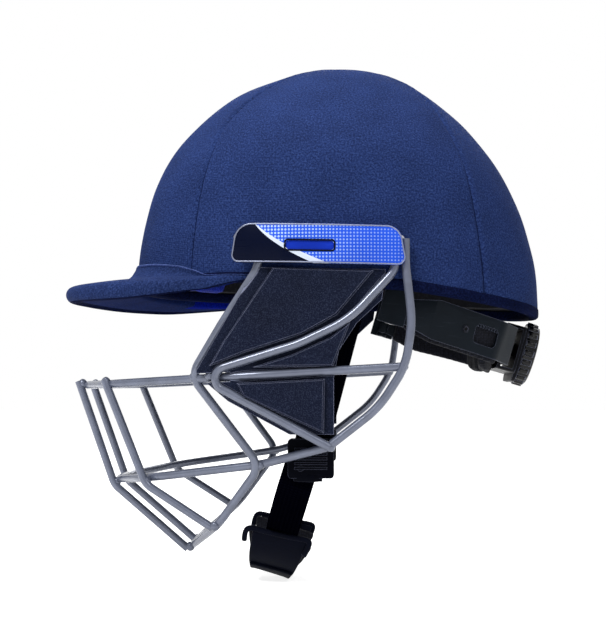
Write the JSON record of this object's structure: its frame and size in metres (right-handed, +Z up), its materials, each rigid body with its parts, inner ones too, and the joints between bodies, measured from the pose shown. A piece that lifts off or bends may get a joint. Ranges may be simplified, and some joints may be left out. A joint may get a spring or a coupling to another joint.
{
  "type": "cricket batting helmet",
  "caption": "Cloth-covered batting helmet with a padded peak, steel wire face guard, side guards, dial fit band at the nape and a webbing strap with a chin cup.",
  "frame": {"origin": "on the mirror plane at brow level, in the middle of the shell: the centre of the head it fits", "axes": "-X to the front (peak), -Y to the wearer's left, +Z up"},
  "size_m": [0.3099, 0.2304, 0.3323],
  "materials": {
    "cover_cloth": "matt woven",
    "peak_cloth": "matt woven",
    "binding_tape": "matt",
    "peak_board": "matt",
    "shell_plastic": "satin",
    "liner_foam": "matt foam",
    "comfort_foam": "matt knitted",
    "plate_plastic": "gloss",
    "insert_plastic": "satin",
    "guard_plastic": "grained",
    "wire_steel": "satin",
    "bracket_steel": "satin",
    "screw_steel": "satin",
    "bush_rubber": "matt",
    "webbing": "matt woven",
    "buckle_plastic": "satin",
    "cup_plastic": "satin",
    "band_plastic": "satin",
    "dial_plastic": "gloss",
    "rivet_steel": "satin"
  },
  "bodies": {
    "helmet": {"outer_shell": "shell_plastic", "foam_liner": "liner_foam", "rim_binding": "binding_tape", "left_cover_panel": "cover_cloth", "right_cover_panel": "cover_cloth", "front_cover_panel": "cover_cloth", "rear_cover_panel": "cover_cloth", "crown_button": "cover_cloth", "peak_core": "peak_board", "peak_cover": "peak_cloth", "left_temple_plate": "plate_plastic", "right_temple_plate": "plate_plastic", "slot_inserts": "insert_plastic", "wire_brackets": "bracket_steel", "plate_screws": "screw_steel", "screw_bushes": "bush_rubber", "screw_nuts": "screw_steel", "guard_top_bar": "wire_steel", "guard_middle_bar": "wire_steel", "guard_face_hoop": "wire_steel", "inner_uprights": "wire_steel", "outer_uprights": "wire_steel", "left_vee_wire": "wire_steel", "right_vee_wire": "wire_steel", "left_rear_hoop": "wire_steel", "right_rear_hoop": "wire_steel", "left_side_guard": "guard_plastic", "right_side_guard": "guard_plastic", "left_ear_pad": "comfort_foam", "right_ear_pad": "comfort_foam", "left_harness_strap": "webbing", "right_harness_strap": "webbing", "harness_rivets": "rivet_steel", "left_buckle": "buckle_plastic", "right_buckle": "buckle_plastic", "buckle_pins": "rivet_steel", "temple_anchors": "band_plastic", "anchor_pins": "rivet_steel", "brow_pad": "comfort_foam", "rear_pad": "comfort_foam", "left_side_pad": "comfort_foam", "right_side_pad": "comfort_foam", "crown_pad": "comfort_foam"},
    "left_band": {"left_fit_band": "band_plastic", "left_fit_band_pad": "comfort_foam"},
    "right_band": {"right_fit_band": "band_plastic", "right_fit_band_pad": "comfort_foam"},
    "cradle": {"ratchet_housing": "band_plastic", "housing_back_plate": "band_plastic", "nape_pad": "comfort_foam"},
    "dial": {"drive_pinion": "band_plastic", "dial_knob": "dial_plastic", "dial_screw": "screw_steel"},
    "left_rack_bar": {"left_rack": "band_plastic"},
    "right_rack_bar": {"right_rack": "band_plastic"},
    "chin_sling": {"chin_strap": "webbing", "chin_cup": "cup_plastic", "chin_cup_pad": "comfort_foam"}
  },
  "joints": [
    {"name": "cradle_slide", "type": "slide", "parent": "helmet", "child": "cradle", "axis": [-0.9608, 0, 0.2773], "range_m": [0, 0.00953]},
    {"name": "dial_turn", "type": "hinge", "parent": "cradle", "child": "dial", "pos_m": [0.11529, 0, -0.03428], "axis": [-0.9608, 0, 0.2773], "range_deg": [0, 95.36]},
    {"name": "left_rack_slide", "type": "slide", "parent": "cradle", "child": "left_rack_bar", "axis": [0, 1, 0], "range_m": [0, 0.00766]},
    {"name": "right_rack_slide", "type": "slide", "parent": "cradle", "child": "right_rack_bar", "axis": [0, -1, 0], "range_m": [0, 0.00766]},
    {"name": "left_band_swing", "type": "hinge", "parent": "helmet", "child": "left_band", "pos_m": [0.03267, -0.087, -0.01043], "axis": [0.2773, 0, 0.9608], "range_deg": [0, 6.01]},
    {"name": "right_band_swing", "type": "hinge", "parent": "helmet", "child": "right_band", "pos_m": [0.03267, 0.087, -0.01043], "axis": [-0.2773, 0, -0.9608], "range_deg": [0, 6.01]},
    {"name": "chin_swing", "type": "hinge", "parent": "helmet", "child": "chin_sling", "pos_m": [-0.0225, 0, -0.10475], "axis": [0, 1, 0], "range_deg": [-25, 12]}
  ],
  "couplings": [
    {"joint": "cradle_slide", "follows": "dial_turn", "m_per_rad": 0.00572},
    {"joint": "left_rack_slide", "follows": "dial_turn", "m_per_rad": 0.0046},
    {"joint": "right_rack_slide", "follows": "dial_turn", "m_per_rad": 0.0046},
    {"joint": "left_band_swing", "follows": "dial_turn", "ratio": 0.06292},
    {"joint": "right_band_swing", "follows": "dial_turn", "ratio": 0.06292}
  ]
}
